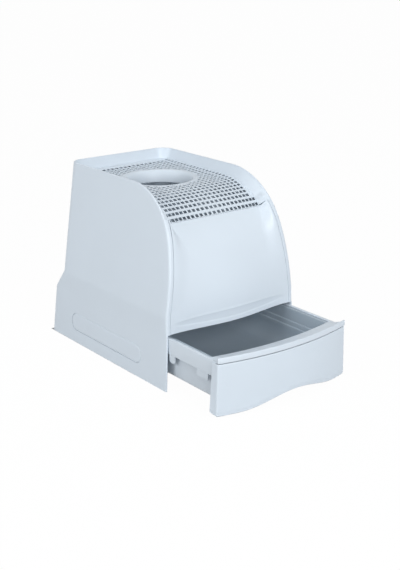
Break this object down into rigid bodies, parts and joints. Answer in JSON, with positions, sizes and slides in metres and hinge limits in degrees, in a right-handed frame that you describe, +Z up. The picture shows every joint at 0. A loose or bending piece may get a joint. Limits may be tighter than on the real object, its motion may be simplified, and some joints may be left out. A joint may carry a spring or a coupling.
{
  "type": "top entry litter box",
  "caption": "Pet litter box with a tapered hood, a perforated deck with an entry hole in its top, a hinged front flap and a sliding litter drawer.",
  "frame": {"origin": "on the floor, under the middle of the box's whole length with the drawer as pictured", "axes": "+Y towards the back of the hood, -Y the way the drawer pulls out, +X right, +Z up"},
  "size_m": [0.384, 0.702, 0.44],
  "materials": {
    "hood_plastic": "satin pale blue-grey",
    "deck_plastic": "satin pale blue-grey",
    "flap_plastic": "satin pale blue-grey",
    "front_plastic": "satin pale blue-grey",
    "frame_plastic": "satin",
    "tub_plastic": "satin",
    "inner_plastic": "satin",
    "pin_plastic": "satin",
    "pan_plastic": "satin slate grey",
    "pad_rubber": "matt"
  },
  "bodies": {
    "hood": {"hood_shell": "hood_plastic", "deck_grid": "deck_plastic", "entry_collar": "deck_plastic", "deck_latches": "hood_plastic", "hinge_pin_left": "pin_plastic", "hinge_pin_right": "pin_plastic", "runner_left": "inner_plastic", "runner_right": "inner_plastic", "side_grip_left": "hood_plastic", "side_grip_right": "hood_plastic", "foot_pads": "pad_rubber"},
    "flap": {"front_flap": "flap_plastic"},
    "drawer": {"drawer_tub": "tub_plastic", "litter_pan": "pan_plastic", "drawer_frame": "frame_plastic", "drawer_front": "front_plastic", "front_catch_left": "frame_plastic", "front_catch_right": "frame_plastic", "side_hook_left": "frame_plastic", "side_hook_right": "frame_plastic"}
  },
  "joints": [
    {"name": "drawer_slide", "type": "slide", "parent": "hood", "child": "drawer", "axis": [0, -1, 0], "range_m": [-0.15, 0.185]},
    {"name": "flap_hinge", "type": "hinge", "parent": "hood", "child": "flap", "pos_m": [0, -0.0894, 0.37893], "axis": [-1, 0, 0], "range_deg": [0, 70]}
  ]
}
